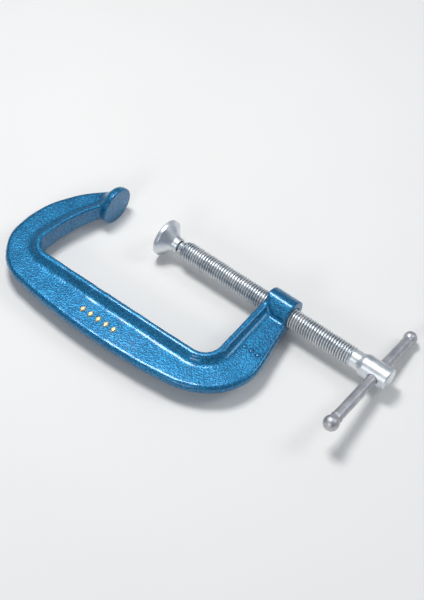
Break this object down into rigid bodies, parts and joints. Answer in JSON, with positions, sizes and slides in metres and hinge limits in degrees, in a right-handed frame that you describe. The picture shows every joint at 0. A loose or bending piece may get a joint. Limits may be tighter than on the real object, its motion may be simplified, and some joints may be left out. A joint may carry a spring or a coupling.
{
  "type": "c clamp",
  "caption": "Forged C clamp with a T-section frame, a threaded spindle, a swivelling round pressure pad and a sliding cross bar that turns the spindle.",
  "frame": {"origin": "centre of the fixed anvil's flat face", "axes": "+X along the spindle from the anvil to the handle, +Z normal to the plane of the C, the spine on the -Y side"},
  "size_m": [0.3525, 0.1859, 0.0375],
  "materials": {
    "frame_paint": "glossy blue hammertone paint",
    "bright_zinc": "bright zinc plate",
    "dark_spring_steel": "dark oiled spring steel",
    "dull_steel": "dull grey plated steel"
  },
  "bodies": {
    "frame": {"c_frame": "frame_paint"},
    "carrier": {"pad_snap_ring": "dark_spring_steel"},
    "pad": {"swivel_pad": "bright_zinc"},
    "screw": {"spindle": "bright_zinc"},
    "handle": {"tommy_bar": "dull_steel", "end_knob": "dull_steel"}
  },
  "joints": [
    {"name": "screw_feed", "type": "slide", "parent": "frame", "child": "carrier", "axis": [1, 0, 0], "range_m": [-0.0538, 0.0952]},
    {"name": "screw_turn", "type": "hinge", "parent": "carrier", "child": "screw", "pos_m": [0.0679, 0, 0], "axis": [1, 0, 0], "range_deg": [-7740, 13700]},
    {"name": "pad_tilt", "type": "hinge", "parent": "carrier", "child": "pad", "pos_m": [0.0679, 0, 0], "axis": [0, 0, 1], "range_deg": [-5, 5]},
    {"name": "bar_slide", "type": "slide", "parent": "screw", "child": "handle", "axis": [0, 0.9848, -0.1736], "range_m": [-0.031, 0.053]}
  ],
  "couplings": [
    {"joint": "screw_feed", "follows": "screw_turn", "m_per_rad": 0.00039789}
  ]
}
